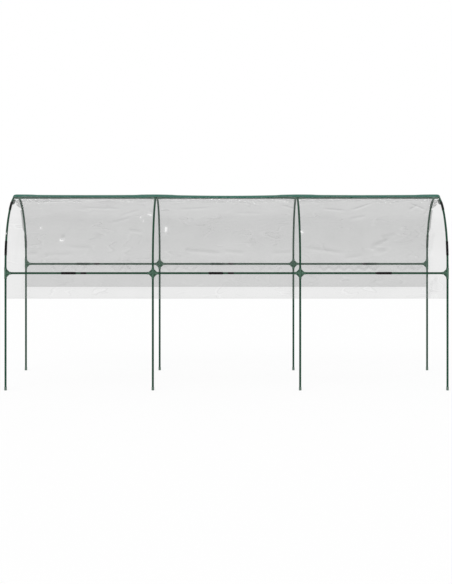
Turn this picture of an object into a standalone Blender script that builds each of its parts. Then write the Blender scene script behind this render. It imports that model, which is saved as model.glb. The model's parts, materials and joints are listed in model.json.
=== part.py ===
"""Tunnel greenhouse: four push-fit hoops of steel tube under one clear film, held by snap clips.

Metres, Z up. The origin is on the ground under the middle of the tunnel. X runs along the ridge,
Y runs across the tunnel, and the front is the side at -Y. Hoops and bays count from the left, -X.
"""
import math

import bmesh
import bpy
from mathutils import Vector

# The frame, measured between the centre lines of its tubes.
BAY = 1.3333             # hoop to hoop; three bays make a tunnel 4 m long
SPAN = 1.200             # front leg to rear leg
HOOP_COUNT = 4
RAIL_HEIGHT = 1.060      # ground to the side rails
STUB_RISE = 0.090        # side rail to where the arch begins to curve
RIDGE_DROP = 0.0195      # top of the hoop down to the ridge tube

# The tube that the frame is made of.
TUBE_OD = 0.019
TUBE_WALL = 0.0008

# The moulded joints, with one size of socket throughout.
SOCKET_WALL = 0.002
SOCKET_DEPTH = 0.034
JOINT_REACH = 0.050      # centre of a joint to the mouth of a socket
WEB_REACH = 0.049        # centre of a rail joint to the tips of its web
WEB_THICKNESS = 0.005

# The foot caps.
FOOT_WALL = 0.002
FOOT_BASE = 0.003
FOOT_HEIGHT = 0.032
FOOT_RIM = 0.001         # how far the rim at the ground stands out
FOOT_RIM_HEIGHT = 0.005

# The snap clips.
CLIP_WALL = 0.0015
CLIP_LENGTH = 0.130
CLIP_GRIP = 0.006        # how far a clip's arms reach past the middle of the tube
RAIL_CLIP_PLACE = 0.570  # nearest hoop to the middle of a rail clip
LOW_CLIP_ANGLE = 13.0    # degrees above the spring line of the arch
HIGH_CLIP_ANGLE = 58.5

# The film.
FILM_THICKNESS = 0.0003
HEM_DROP = 0.230         # side rail down to the film's hem
CROWN_SAG = 0.013        # dip of the film at the ridge, halfway between hoops

FIT = 0.0003             # clearance between pieces that touch
SIDES = 12               # facets round a tube
ARCH_STEPS = 12          # facets along a quarter arch
SAG_STEPS = 4            # facets of the film's dip along a bay
OVERRUN = 0.005          # how far a cutter runs past what it cuts
SHARP_ANGLE = math.radians(40.0)

TUNNEL_LENGTH = BAY * (HOOP_COUNT - 1)     # end hoop to end hoop
ARCH_RADIUS = SPAN / 2
SPRING_HEIGHT = RAIL_HEIGHT + STUB_RISE
TOP_HEIGHT = SPRING_HEIGHT + ARCH_RADIUS
TUBE_RADIUS = TUBE_OD / 2
BORE_RADIUS = TUBE_RADIUS + FIT
SOCKET_RADIUS = BORE_RADIUS + SOCKET_WALL
SOCKET_FLOOR = JOINT_REACH - SOCKET_DEPTH  # centre of a joint to the floor of a socket
TUBE_STOP = SOCKET_FLOOR + FIT             # centre of a joint to the end of a tube
CLEAR_REACH = JOINT_REACH + FIT            # centre of a joint to where the film may leave it
CLIP_RADIUS = BORE_RADIUS + CLIP_WALL
FILM_ON_JOINT = SOCKET_RADIUS + FIT        # tube's centre line to the film, over a joint
FILM_ON_TUBE = BORE_RADIUS                 # the same over a bare tube

ALONG = Vector((1, 0, 0))
UP = Vector((0, 0, 1))
CENTRE = Vector((0, 0, 0))
SIDE_SIGNS = {"front": -1.0, "rear": 1.0}
SIDE_TURNS = {"front": 0.0, "rear": math.pi}


def hoop_x(number):
    """X of a hoop."""
    return -TUNNEL_LENGTH / 2 + (number - 1) * BAY


def is_end_hoop(number):
    return number in (1, HOOP_COUNT)


def rail_clip_x(bay):
    """X of the middle of a bay's rail clips. The last bay's are measured from the right end hoop."""
    if bay == HOOP_COUNT - 1:
        return hoop_x(HOOP_COUNT) - RAIL_CLIP_PLACE
    return hoop_x(bay) + RAIL_CLIP_PLACE


def mirrored(point):
    """The same point on the rear half of the tunnel."""
    return Vector((point.x, -point.y, point.z))


def arch_corner(step):
    """A corner of the faceted front arch, from 0 at the spring line to ARCH_STEPS at the top."""
    angle = math.pi / 2 * step / ARCH_STEPS
    return Vector((0, -ARCH_RADIUS * math.cos(angle), SPRING_HEIGHT + ARCH_RADIUS * math.sin(angle)))


def arch_point(degrees):
    """The point of the faceted front arch at an angle above the spring line."""
    place = degrees / 90.0 * ARCH_STEPS
    step = min(int(place), ARCH_STEPS - 1)
    return arch_corner(step).lerp(arch_corner(step + 1), place - step)


def arch_stretch(degrees, length):
    """The faceted front arch for a length about one angle, with the corners that lie in it."""
    half = math.degrees(length / 2 / ARCH_RADIUS)
    low = degrees - half
    high = degrees + half
    corners = [arch_corner(step) for step in range(ARCH_STEPS) if low < 90.0 * step / ARCH_STEPS < high]
    return [arch_point(low)] + corners + [arch_point(high)]


def down_from_top(distance):
    """The point of the front arch that lies a short way down its last facet."""
    top = arch_corner(ARCH_STEPS)
    return top + (arch_corner(ARCH_STEPS - 1) - top).normalized() * distance


def outward_vectors(path, side):
    """At each point of a path, the vector that moves its facets outward by one unit, mitred at bends.

    The path bends in the plane square to side. Outward is side crossed with the way the path runs.
    """
    runs = [(end - start).normalized() for start, end in zip(path, path[1:])]
    vectors = []
    for run_in, run_out in zip([runs[0]] + runs, runs + [runs[-1]]):
        middle = (run_in + run_out).normalized()
        vectors.append(side.cross(middle) / middle.dot(run_in))
    return vectors


def carry(form, path, outline, side):
    """Corners of an outline of (out, across) points at every point of a path."""
    rows = []
    for point, out in zip(path, outward_vectors(path, side)):
        rows.append([form.verts.new(point + out * a + side * b) for a, b in outline])
    return rows


def bridge(form, ring, next_ring):
    """Join two closed rings of the same count with a band of faces."""
    for index, corner in enumerate(ring):
        form.faces.new((ring[index - 1], corner, next_ring[index], next_ring[index - 1]))


def strip(form, row, next_row):
    """Join two open rows of the same count with faces."""
    for index in range(len(row) - 1):
        form.faces.new((row[index], row[index + 1], next_row[index + 1], next_row[index]))


def bridge_all(form, rings):
    for ring, next_ring in zip(rings, rings[1:]):
        bridge(form, ring, next_ring)


def finish_mesh(name, form):
    """A mesh of the form with outward faces, smooth round its facets and sharp at its edges."""
    bmesh.ops.recalc_face_normals(form, faces=form.faces)
    mesh = bpy.data.meshes.new(name)
    form.to_mesh(mesh)
    form.free()
    shade(mesh)
    return mesh


def shade(mesh):
    mesh.shade_smooth()
    mesh.set_sharp_from_angle(angle=SHARP_ANGLE)


def circle(radius):
    """Outline of a round bar or bore."""
    angles = [2 * math.pi * step / SIDES for step in range(SIDES)]
    return [(radius * math.cos(angle), radius * math.sin(angle)) for angle in angles]


def bar(name, path, outline, side):
    """A solid bar of one outline along a path."""
    form = bmesh.new()
    rings = carry(form, path, outline, side)
    bridge_all(form, rings)
    form.faces.new(rings[0])
    form.faces.new(rings[-1])
    return finish_mesh(name, form)


def tube(name, path, side):
    """A length of the frame's tube, open at both ends."""
    form = bmesh.new()
    outside = carry(form, path, circle(TUBE_RADIUS), side)
    inside = carry(form, path, circle(TUBE_RADIUS - TUBE_WALL), side)
    bridge_all(form, outside)
    bridge_all(form, inside)
    for end in (0, -1):
        bridge(form, outside[end], inside[end])
    return finish_mesh(name, form)


def plate(name, corners, thickness):
    """A flat web of (x, z) corners, its thickness across the tunnel."""
    form = bmesh.new()
    front = [form.verts.new((x, -thickness / 2, z)) for x, z in corners]
    back = [form.verts.new((x, thickness / 2, z)) for x, z in corners]
    form.faces.new(front)
    form.faces.new(back)
    bridge(form, front, back)
    return finish_mesh(name, form)


def gathered(name, meshes):
    """Separate closed shapes as one mesh, so that one cut takes them all."""
    form = bmesh.new()
    for mesh in meshes:
        form.from_mesh(mesh)
    return finish_mesh(name, form)


def link_object(name, data, location=(0, 0, 0), parent=None):
    item = bpy.data.objects.new(name, data)
    bpy.context.scene.collection.objects.link(item)
    item.location = location
    item.parent = parent
    return item


def link_tool(name, mesh):
    """A shape that only cuts or joins others."""
    tool = link_object(name, mesh)
    tool.hide_render = True
    tool.display_type = "WIRE"
    return tool


def carved(name, base, added, cutter):
    """The base with the added shapes fused to it, then the cutter taken away."""
    body = link_object(name + "_base", base)
    tools = []
    for mesh, operation in [(mesh, "UNION") for mesh in added] + [(cutter, "DIFFERENCE")]:
        tools.append(link_tool(mesh.name, mesh))
        modifier = body.modifiers.new(operation.title(), "BOOLEAN")
        modifier.operation = operation
        modifier.object = tools[-1]
    graph = bpy.context.evaluated_depsgraph_get()
    mesh = bpy.data.meshes.new_from_object(body.evaluated_get(graph))
    mesh.name = name
    for item in tools + [body]:
        bpy.data.objects.remove(item)
    shade(mesh)
    return mesh


def leg_mesh():
    return tube("leg", [UP * (FOOT_BASE + FIT), UP * (RAIL_HEIGHT - TUBE_STOP)], ALONG)


def quarter_arch_mesh():
    """The front half of a hoop's top: a straight stub, then a quarter circle to the ridge joint."""
    stub = Vector((0, -ARCH_RADIUS, RAIL_HEIGHT + TUBE_STOP))
    corners = [arch_corner(step) for step in range(ARCH_STEPS)]
    return tube("quarter_arch", [stub] + corners + [down_from_top(TUBE_STOP)], ALONG)


def bay_tube_mesh():
    """A tube that spans one bay, between the sockets of two joints."""
    half = BAY / 2 - TUBE_STOP
    return tube("bay_tube", [ALONG * -half, ALONG * half], UP)


def foot_mesh():
    """A turned cup: a rim at the ground, a wall round the leg and a floor under the leg's end."""
    outer = BORE_RADIUS + FOOT_WALL
    profile = [
        (outer + FOOT_RIM, 0.0),
        (outer + FOOT_RIM, FOOT_RIM_HEIGHT),
        (outer, FOOT_RIM_HEIGHT + FOOT_RIM),
        (outer, FOOT_HEIGHT),
        (BORE_RADIUS, FOOT_HEIGHT),
        (BORE_RADIUS, FOOT_BASE),
    ]
    form = bmesh.new()
    rings = [[form.verts.new((x, y, z)) for x, y in circle(radius)] for radius, z in profile]
    bridge_all(form, rings)
    form.faces.new(rings[0])
    form.faces.new(rings[-1])
    return finish_mesh("foot_cap", form)


def socket_bore(centre, direction, side):
    """Cutter for one socket that opens along direction."""
    path = [centre + direction * SOCKET_FLOOR, centre + direction * (JOINT_REACH + OVERRUN)]
    return bar("socket_bore", path, circle(BORE_RADIUS), side)


def rail_joint_mesh(is_end):
    """Sockets for leg, arch and rails, with a flat web between them. An end joint has one rail socket."""
    name = "end_rail_joint" if is_end else "inner_rail_joint"
    post = bar("post", [UP * -JOINT_REACH, UP * JOINT_REACH], circle(SOCKET_RADIUS), ALONG)
    arm_start = CENTRE if is_end else ALONG * -JOINT_REACH
    arm = bar("arm", [arm_start, ALONG * JOINT_REACH], circle(SOCKET_RADIUS), UP)
    corners = [(0, -WEB_REACH), (WEB_REACH, 0), (0, WEB_REACH)]
    mouths = [(UP, ALONG), (-UP, ALONG), (ALONG, UP)]
    if not is_end:
        corners.append((-WEB_REACH, 0))
        mouths.append((-ALONG, UP))
    web = plate("web", corners, WEB_THICKNESS)
    bores = [socket_bore(CENTRE, direction, side) for direction, side in mouths]
    return carved(name, post, [arm, web], gathered("bores", bores))


def ridge_joint_mesh(is_end):
    """A sleeve over the top of the hoop, with the sockets of the ridge tubes fused beneath it."""
    name = "end_ridge_joint" if is_end else "inner_ridge_joint"
    slope = (down_from_top(JOINT_REACH) - arch_corner(ARCH_STEPS)).normalized()
    sleeve_path = [slope * JOINT_REACH, CENTRE, mirrored(slope) * JOINT_REACH]
    sleeve = bar("sleeve", sleeve_path, circle(SOCKET_RADIUS), ALONG)
    ridge = UP * -RIDGE_DROP
    arm_start = ridge - ALONG * (SOCKET_RADIUS if is_end else JOINT_REACH)
    arm = bar("arm", [arm_start, ridge + ALONG * JOINT_REACH], circle(SOCKET_RADIUS), UP)
    bores = [
        socket_bore(CENTRE, slope, ALONG),
        socket_bore(CENTRE, mirrored(slope), ALONG),
        socket_bore(ridge, ALONG, UP),
    ]
    if not is_end:
        bores.append(socket_bore(ridge, -ALONG, UP))
    return carved(name, sleeve, [arm], gathered("bores", bores))


def clip_mesh(name, path, side):
    """A channel that follows the tube: half a ring round its outer face, with two straight arms."""
    quarter = SIDES // 4
    turns = [2 * math.pi * step / SIDES for step in range(-quarter, quarter + 1)]

    def section(radius):
        bend = [(radius * math.cos(turn), radius * math.sin(turn)) for turn in turns]
        return [(-CLIP_GRIP, -radius)] + bend + [(-CLIP_GRIP, radius)]

    form = bmesh.new()
    outside = carry(form, path, section(CLIP_RADIUS), side)
    inside = carry(form, path, section(BORE_RADIUS), side)
    bridge_all(form, [outer + inner[::-1] for outer, inner in zip(outside, inside)])
    for end in (0, -1):
        strip(form, outside[end], inside[end])
    return finish_mesh(name, form)


def rail_clip_mesh():
    return clip_mesh("rail_clip", [ALONG * (-CLIP_LENGTH / 2), ALONG * (CLIP_LENGTH / 2)], -UP)


def hoop_clip_mesh(degrees):
    """A clip bent to the front arch, with its origin on the tube's centre line."""
    middle = arch_point(degrees)
    return clip_mesh("hoop_clip", [point - middle for point in arch_stretch(degrees, CLIP_LENGTH)], ALONG)


def film_section():
    """The film's way across the tunnel, with its height over the tubes' centre lines and its dip.

    It rides on the joints, lies on the bare tube between them, and hangs straight below the rail.
    """
    hem = Vector((0, -ARCH_RADIUS, RAIL_HEIGHT - HEM_DROP))
    rail = Vector((0, -ARCH_RADIUS, RAIL_HEIGHT))
    over_rail = rail + UP * CLEAR_REACH
    corners = [arch_corner(step) for step in range(ARCH_STEPS)]
    front = [(hem, FILM_ON_JOINT), (rail, FILM_ON_JOINT), (over_rail, FILM_ON_JOINT)]
    front += [(corner, FILM_ON_TUBE) for corner in corners]
    front.append((down_from_top(CLEAR_REACH), FILM_ON_JOINT))
    top = [(arch_corner(ARCH_STEPS), FILM_ON_JOINT)]
    rear = [(mirrored(point), height) for point, height in reversed(front)]
    return [(point, height, film_dip(point.z)) for point, height in front + top + rear]


def film_dip(height):
    """How far the film dips inward, halfway between hoops: none at the hem, onto the tube at the rail."""
    rail_dip = FILM_ON_JOINT - FILM_ON_TUBE
    if height < RAIL_HEIGHT:
        return 0.0
    return rail_dip + (CROWN_SAG - rail_dip) * (height - RAIL_HEIGHT) / (TOP_HEIGHT - RAIL_HEIGHT)


def film_columns():
    """X of the film's columns and their share of the dip. The film is flush with the end hoops."""
    free = BAY - 2 * CLEAR_REACH
    columns = [(-TUNNEL_LENGTH / 2 - TUBE_RADIUS, 0.0)]
    for bay in range(1, HOOP_COUNT):
        for step in range(SAG_STEPS + 1):
            share = step / SAG_STEPS
            columns.append((hoop_x(bay) + CLEAR_REACH + free * share, math.sin(math.pi * share)))
    columns.append((TUNNEL_LENGTH / 2 + TUBE_RADIUS, 0.0))
    return columns


def film_sheet():
    """The whole film, with its dips between hoops and before its gaps for the clips."""
    section = film_section()
    outward = outward_vectors([point for point, height, dip in section], ALONG)
    form = bmesh.new()
    columns = []
    for x, share in film_columns():
        under = []
        over = []
        for (point, height, dip), out in zip(section, outward):
            lift = height - dip * share
            under.append(form.verts.new(point + ALONG * x + out * lift))
            over.append(form.verts.new(point + ALONG * x + out * (lift + FILM_THICKNESS)))
        columns.append(under + over[::-1])
    bridge_all(form, columns)
    rows = len(section)
    for end in (0, -1):
        strip(form, columns[end][:rows], columns[end][rows:][::-1])
    return finish_mesh("film_sheet", form)


def gap_outline():
    """Section of the gap that the film leaves for a clip."""
    low = FILM_ON_TUBE - OVERRUN
    high = FILM_ON_JOINT + FILM_THICKNESS + OVERRUN
    half = CLIP_RADIUS + FIT
    return [(low, -half), (high, -half), (high, half), (low, half)]


def film_mesh():
    """The film, which stops a clearance short of each clip all round. A real one is nipped under it."""
    gap_length = CLIP_LENGTH + 2 * FIT
    gaps = []
    for sign in SIDE_SIGNS.values():
        for bay in range(1, HOOP_COUNT):
            middle = Vector((rail_clip_x(bay), sign * ARCH_RADIUS, RAIL_HEIGHT))
            path = [middle - ALONG * (gap_length / 2), middle + ALONG * (gap_length / 2)]
            gaps.append(bar("gap", path, gap_outline(), UP * sign))
        for degrees in (LOW_CLIP_ANGLE, HIGH_CLIP_ANGLE):
            stretch = [Vector((0, -sign * point.y, point.z)) for point in arch_stretch(degrees, gap_length)]
            for number in (1, HOOP_COUNT):
                path = [point + ALONG * hoop_x(number) for point in stretch]
                gaps.append(bar("gap", path, gap_outline(), ALONG * -sign))
    return carved("cover", film_sheet(), [], gathered("gaps", gaps))


def make_material(name, colour, roughness, metallic=0.0, alpha=1.0):
    material = bpy.data.materials.new(name)
    material.use_nodes = True
    shader = material.node_tree.nodes["Principled BSDF"]
    shader.inputs["Base Color"].default_value = (*colour, 1.0)
    shader.inputs["Roughness"].default_value = roughness
    shader.inputs["Metallic"].default_value = metallic
    shader.inputs["Alpha"].default_value = alpha
    return material


def dress(mesh, material):
    """Give a finished mesh the one material of its pieces."""
    mesh.materials.clear()
    mesh.materials.append(material)
    return mesh


def build_hoops(root, coated_steel, moulded_green, foot_plastic):
    """Legs, quarter arches, joints and foot caps, four sets along the tunnel."""
    leg = dress(leg_mesh(), coated_steel)
    arch = dress(quarter_arch_mesh(), coated_steel)
    foot = dress(foot_mesh(), foot_plastic)
    rail_joints = {is_end: dress(rail_joint_mesh(is_end), moulded_green) for is_end in (True, False)}
    ridge_joints = {is_end: dress(ridge_joint_mesh(is_end), moulded_green) for is_end in (True, False)}
    for number in range(1, HOOP_COUNT + 1):
        hoop = link_object(f"hoop_{number}", None, (hoop_x(number), 0, 0), root)
        is_end = is_end_hoop(number)
        end_turn = math.pi if number == HOOP_COUNT else 0.0
        ridge_joint = link_object(f"ridge_joint_{number}", ridge_joints[is_end], (0, 0, TOP_HEIGHT), hoop)
        ridge_joint.rotation_euler.z = end_turn
        for side, sign in SIDE_SIGNS.items():
            stand = Vector((0, sign * ARCH_RADIUS, 0))
            link_object(f"foot_{side}_{number}", foot, stand, hoop)
            link_object(f"leg_{side}_{number}", leg, stand, hoop)
            rail_place = stand + UP * RAIL_HEIGHT
            rail_joint = link_object(f"rail_joint_{side}_{number}", rail_joints[is_end], rail_place, hoop)
            rail_joint.rotation_euler.z = end_turn
            quarter = link_object(f"arch_{side}_{number}", arch, CENTRE, hoop)
            quarter.rotation_euler.z = SIDE_TURNS[side]


def build_bay_tubes(root, coated_steel):
    """The side rails and the ridge tubes, one of each for every bay."""
    bay_tube = dress(bay_tube_mesh(), coated_steel)
    for bay in range(1, HOOP_COUNT):
        middle = hoop_x(bay) + BAY / 2
        link_object(f"ridge_tube_{bay}", bay_tube, (middle, 0, TOP_HEIGHT - RIDGE_DROP), root)
        for side, sign in SIDE_SIGNS.items():
            link_object(f"rail_{side}_{bay}", bay_tube, (middle, sign * ARCH_RADIUS, RAIL_HEIGHT), root)


def build_clips(root, black_plastic):
    """Snap clips, each with its origin on the tube that it grips. They pull straight off, outward."""
    rail_clip = dress(rail_clip_mesh(), black_plastic)
    heights = {"low": LOW_CLIP_ANGLE, "high": HIGH_CLIP_ANGLE}
    for side, sign in SIDE_SIGNS.items():
        for bay in range(1, HOOP_COUNT):
            place = (rail_clip_x(bay), sign * ARCH_RADIUS, RAIL_HEIGHT)
            clip = link_object(f"rail_clip_{side}_{bay}", rail_clip, place, root)
            clip.rotation_euler.z = SIDE_TURNS[side]
    for level, degrees in heights.items():
        hoop_clip = dress(hoop_clip_mesh(degrees), black_plastic)
        middle = arch_point(degrees)
        for side, sign in SIDE_SIGNS.items():
            for end, number in (("left", 1), ("right", HOOP_COUNT)):
                place = (hoop_x(number), -sign * middle.y, middle.z)
                clip = link_object(f"hoop_clip_{side}_{end}_{level}", hoop_clip, place, root)
                clip.rotation_euler.z = SIDE_TURNS[side]


def build_greenhouse():
    coated_steel = make_material("coated_steel_tube", (0.036, 0.090, 0.056), 0.45)
    moulded_green = make_material("moulded_green_joint", (0.070, 0.140, 0.090), 0.55)
    foot_plastic = make_material("dark_foot_plastic", (0.030, 0.050, 0.038), 0.60)
    black_plastic = make_material("black_clip_plastic", (0.011, 0.011, 0.011), 0.50)
    clear_film = make_material("clear_film", (0.80, 0.82, 0.81), 0.20, alpha=0.25)
    root = link_object("tunnel_greenhouse", None)
    build_hoops(root, coated_steel, moulded_green, foot_plastic)
    build_bay_tubes(root, coated_steel)
    build_clips(root, black_plastic)
    link_object("cover", dress(film_mesh(), clear_film), parent=root)


for item in list(bpy.data.objects):
    bpy.data.objects.remove(item)
build_greenhouse()
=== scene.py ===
"""Tunnel greenhouse: the finish of its tubes, joints, clips and film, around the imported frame.

Metres, Z up. X runs along the ridge, Y runs across the tunnel, and the front is the side at -Y.
"""
import json
import math

import bmesh
import bpy
import numpy as np
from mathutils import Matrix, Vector, noise


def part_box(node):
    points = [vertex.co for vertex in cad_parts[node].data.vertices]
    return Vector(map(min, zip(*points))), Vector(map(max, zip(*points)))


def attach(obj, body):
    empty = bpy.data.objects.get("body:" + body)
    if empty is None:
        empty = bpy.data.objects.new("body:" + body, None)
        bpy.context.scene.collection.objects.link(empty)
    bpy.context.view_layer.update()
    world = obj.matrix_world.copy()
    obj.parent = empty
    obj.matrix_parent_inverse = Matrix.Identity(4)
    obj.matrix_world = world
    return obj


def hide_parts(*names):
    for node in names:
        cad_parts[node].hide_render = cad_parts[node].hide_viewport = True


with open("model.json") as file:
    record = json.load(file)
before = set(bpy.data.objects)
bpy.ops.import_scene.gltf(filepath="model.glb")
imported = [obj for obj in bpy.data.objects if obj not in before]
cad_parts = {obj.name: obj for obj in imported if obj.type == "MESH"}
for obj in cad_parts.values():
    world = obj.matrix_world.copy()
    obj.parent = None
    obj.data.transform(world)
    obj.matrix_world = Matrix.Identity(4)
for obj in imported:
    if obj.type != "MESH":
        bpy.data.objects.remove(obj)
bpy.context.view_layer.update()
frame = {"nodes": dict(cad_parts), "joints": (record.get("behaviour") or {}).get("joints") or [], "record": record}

bl_info = {
    "name": "Tunnel greenhouse",
    "version": (1, 0, 0),
    "blender": (4, 5, 0),
    "location": "3D View > Sidebar > Greenhouse",
    "description": "Builds the tubes, joints, clips and film of a push-fit tunnel greenhouse",
    "category": "Object",
}

SIDES = {"front": -1.0, "rear": 1.0}
ENDS = {"left": -1.0, "right": 1.0}
CENTRE = Vector((0, 0, 0))
ALONG = Vector((1, 0, 0))
ACROSS = Vector((0, 1, 0))
UP = Vector((0, 0, 1))
SHARP_ANGLE = math.radians(32.0)
WHITE = (1.0, 1.0, 1.0, 1.0)


def middle(node):
    low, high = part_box(node)
    return (low + high) / 2


def extent(node):
    low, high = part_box(node)
    return high - low


# Places and sizes read from the frame.
HOOP_COUNT = sum(name.startswith("leg_front_") for name in frame["nodes"])
HOOP_XS = [middle(f"leg_front_{number}").x for number in range(1, HOOP_COUNT + 1)]
HOOPS = list(enumerate(HOOP_XS, start=1))
BAYS = range(1, HOOP_COUNT)
TUNNEL_END = HOOP_XS[-1]
BAY = HOOP_XS[1] - HOOP_XS[0]
ARCH_RADIUS = middle("leg_rear_1").y
QUARTER_ARCH = ARCH_RADIUS * math.pi / 2
RAIL_HEIGHT = middle("rail_front_1").z
TUBE_RADIUS = extent("rail_front_1").y / 2
SOCKET_RADIUS = extent("rail_joint_front_1").y / 2
JOINT_REACH = extent("rail_joint_front_1").z / 2
TUBE_STOP = RAIL_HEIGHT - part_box("leg_front_1")[1].z
TOP_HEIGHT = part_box("ridge_joint_1")[1].z - SOCKET_RADIUS
SPRING_HEIGHT = TOP_HEIGHT - ARCH_RADIUS
RIDGE_HEIGHT = middle("ridge_tube_1").z
HEM_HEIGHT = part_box("cover")[0].z
FOOT_HEIGHT = extent("foot_front_1").z
LEG_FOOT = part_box("leg_front_1")[0].z
CLIP_LENGTH = extent("rail_clip_front_1").x
CLIP_RADIUS = extent("rail_clip_front_1").z / 2
RAIL_CLIP_XS = [middle(f"rail_clip_front_{bay}").x for bay in BAYS]
BODIES = frame["record"]["behaviour"]["bodies"]
NODE_BODY = {node: body for body, nodes in BODIES.items() for node in nodes}
CLIP_AXES = {joint["child"]: Vector(joint["axis"]) for joint in frame["joints"]}

FIT = 0.0003                      # clearance between pieces that touch
BORE_RADIUS = TUBE_RADIUS + FIT
BORE_ENDS = [TUBE_STOP - FIT, JOINT_REACH + FIT]
BENT_STEPS = 6                    # sections along each half of what is bent over a hoop
WEB_STEPS = 8                     # faces along a web's edge

FILM_HEIGHT = TUBE_RADIUS + 0.0005           # film that lies on a tube, over its centre line
FILM_OVER_SOCKET = SOCKET_RADIUS + 0.0010    # the same on a joint's socket
NIPPED = TUBE_RADIUS + 0.8 * FIT             # film between a tube and the clip over it
CLIP_MOUTH = math.radians(148)               # where film turns out from under a clip
FULL_WRAP = math.radians(188)                # how far the margin is wound round an end hoop
FREE_SLOPE = math.radians(40)                # where a free margin leaves the hoop's tube
WOUND_SHARE = 0.6                            # share of the margin that is wound on the tube
FREE_SHARE = 0.3                             # share that lies on it where the rest is free
TUCK = 0.004                                 # how far the edge of the wound margin is tucked
FREE_REACH = 0.018                           # how far the edge of a free margin stands out
FREE_DROP = 0.3                              # slope of its drop on the way
LOBE_REACH = 0.020                           # more of either in the lobes beside high clips
BUNCHED_EDGE = (0.0075, -0.031)              # rise and way out of a clipped edge in front
FLARED_EDGE = (0.0050, 0.038)                # the same behind
RIDGE_ROLL = 0.008                           # more room in the wound margin at the ridge
CLIP_STEPS = 7                               # columns of the margin under a hoop clip
FREE_STEPS = 5                               # columns of the margin below it
FREE_STEP = 0.0025                           # distance from each of those to the next
HOOP_CLIP_FADE = 0.028                       # past a clip's end, where film is nipped no more
RAIL_CLIP_FADE = 0.032                       # the same on the rails
HEM_FOLD = 0.012                             # width of the welded hem
FILM_STEP_AT_TUBES = 0.006                   # size of the film's faces at hoops and rail clips

# What the shader nodes are asked for in more than one material.
NOISE = "ShaderNodeTexNoise"
RANGE = "ShaderNodeMapRange"
MATHS = "ShaderNodeMath"
MIX = "ShaderNodeMix"
BUMP = "ShaderNodeBump"
ADD, SUBTRACT, MULTIPLY, ABSOLUTE, LEAST, MOST = (
    {"operation": name}
    for name in ("ADD", "SUBTRACT", "MULTIPLY", "ABSOLUTE", "MINIMUM", "MAXIMUM"))
SOFT = {"interpolation_type": "SMOOTHSTEP"}
COLOURS = {"data_type": "RGBA"}
MIX_A = 6                         # a colour Mix node's sockets, which share their names
MIX_B = 7
MIX_RESULT = 2


def linear(code):
    """A colour written as sRGB hex, such as 3a5c48, as linear RGBA."""
    shares = [int(code[place:place + 2], 16) / 255 for place in (0, 2, 4)]
    return (*(s / 12.92 if s <= 0.04045 else ((s + 0.055) / 1.055) ** 2.4 for s in shares), 1.0)


def per(millimetres):
    """Scale of a pattern that repeats about once in that many millimetres."""
    return 1000.0 / millimetres


def smooth(start, end, value):
    """A soft step from 0 at start to 1 at end, for numbers and arrays."""
    share = np.clip((value - start) / (end - start), 0.0, 1.0)
    return share * share * (3 - 2 * share)


def set_inputs(item, inputs):
    """Set or link a node's inputs, given by name or number, or as a list in the node's order.

    A node stands for its first output.
    """
    for name, value in inputs.items() if isinstance(inputs, dict) else enumerate(inputs):
        if isinstance(value, bpy.types.Node):
            value = value.outputs[0]
        if isinstance(value, bpy.types.NodeSocket):
            item.id_data.links.new(value, item.inputs[name])
        else:
            item.inputs[name].default_value = value


def add_node(tree, kind, settings=None, inputs=None):
    """Add a node, set its own properties, and set or link its inputs."""
    item = tree.nodes.new(kind)
    for name, value in (settings or {}).items():
        setattr(item, name, value)
    set_inputs(item, inputs or {})
    return item


def number_property(name, description, default, **kind):
    return bpy.props.FloatProperty(name=name, description=description, default=default, **kind)


def length_property(name, description, default):
    return number_property(
        name, description, default, unit="LENGTH", subtype="DISTANCE", precision=4)


def count_property(name, description, default, least=1):
    return bpy.props.IntProperty(
        name=name, description=description, default=default, min=least)


def colour_property(name, description, code):
    return bpy.props.FloatVectorProperty(
        name=name, description=description, default=linear(code), size=4, subtype="COLOR",
        min=0.0, max=1.0)


class TubeSettings(bpy.types.PropertyGroup):
    """The powder-coated steel tube."""
    facets: count_property("Facets", "Facets round a tube", 28, 8)
    bend_steps: count_property("Bend steps", "Facets along a quarter arch", 54)
    coat: colour_property("Coat", "Colour of the powder coat", "1a412f")
    coat_worn: colour_property("Worn coat", "Colour of the coat where it is rubbed", "2a513e")


class JointSettings(bpy.types.PropertyGroup):
    """The moulded joints and foot caps."""
    facets: count_property("Facets", "Facets round a socket", 32, 8)
    bead: length_property("Bead", "How far the bead at a socket's mouth stands out", 0.0006)
    bead_length: length_property("Bead length", "Length of the bead at a socket's mouth", 0.0055)
    web_reach: length_property("Web reach", "Centre of a joint to the tips of its web", 0.049)
    web_hollow: length_property("Web hollow", "How far a web's edge curves in", 0.001)
    web_thickness: length_property("Web thickness", "Thickness of a web", 0.005)
    rim_thickness: length_property("Rim thickness", "Thickness of the rim on a web", 0.010)
    rim_width: length_property("Rim width", "Width of the rim along a web's edge", 0.0025)
    foot_wall: length_property("Foot wall", "Thickness of a foot cap's wall", 0.0014)
    foot_rim: length_property("Foot rim", "How far a foot cap's rim stands out", 0.0008)
    rib_count: count_property("Ribs", "Grip ribs round a foot cap", 18)
    rib_radius: length_property("Rib radius", "Radius of a foot cap's grip ribs", 0.0005)
    green: colour_property("Green", "Colour of the moulded joints", "3d5c4c")
    green_pale: colour_property("Pale green", "Colour of the joints' flow marks", "4a6a58")
    foot: colour_property("Foot", "Colour of the foot caps", "62756a")


class ClipSettings(bpy.types.PropertyGroup):
    """The snap clips and the short sleeves on the rails."""
    facets: count_property("Facets", "Facets round a clip", 24, 8)
    wrap: number_property(
        "Wrap", "How far a clip reaches round the tube each way", math.radians(136),
        subtype="ANGLE")
    lip_flare: length_property("Lip flare", "How far a clip's lips turn out", 0.0007)
    rib_count: count_property("Ribs", "Grip ribs on a clip's back", 9)
    rib_height: length_property("Rib height", "Height of a clip's grip ribs", 0.0004)
    rib_width: length_property("Rib width", "Width of a clip's grip ribs", 0.0024)
    sleeve_length: length_property("Sleeve length", "Length of a rail sleeve", 0.052)
    sleeve_place: length_property("Sleeve place", "Left hoop of a bay to its sleeves", 0.706)
    black: colour_property("Black", "Colour of the clips", "060706")


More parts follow.
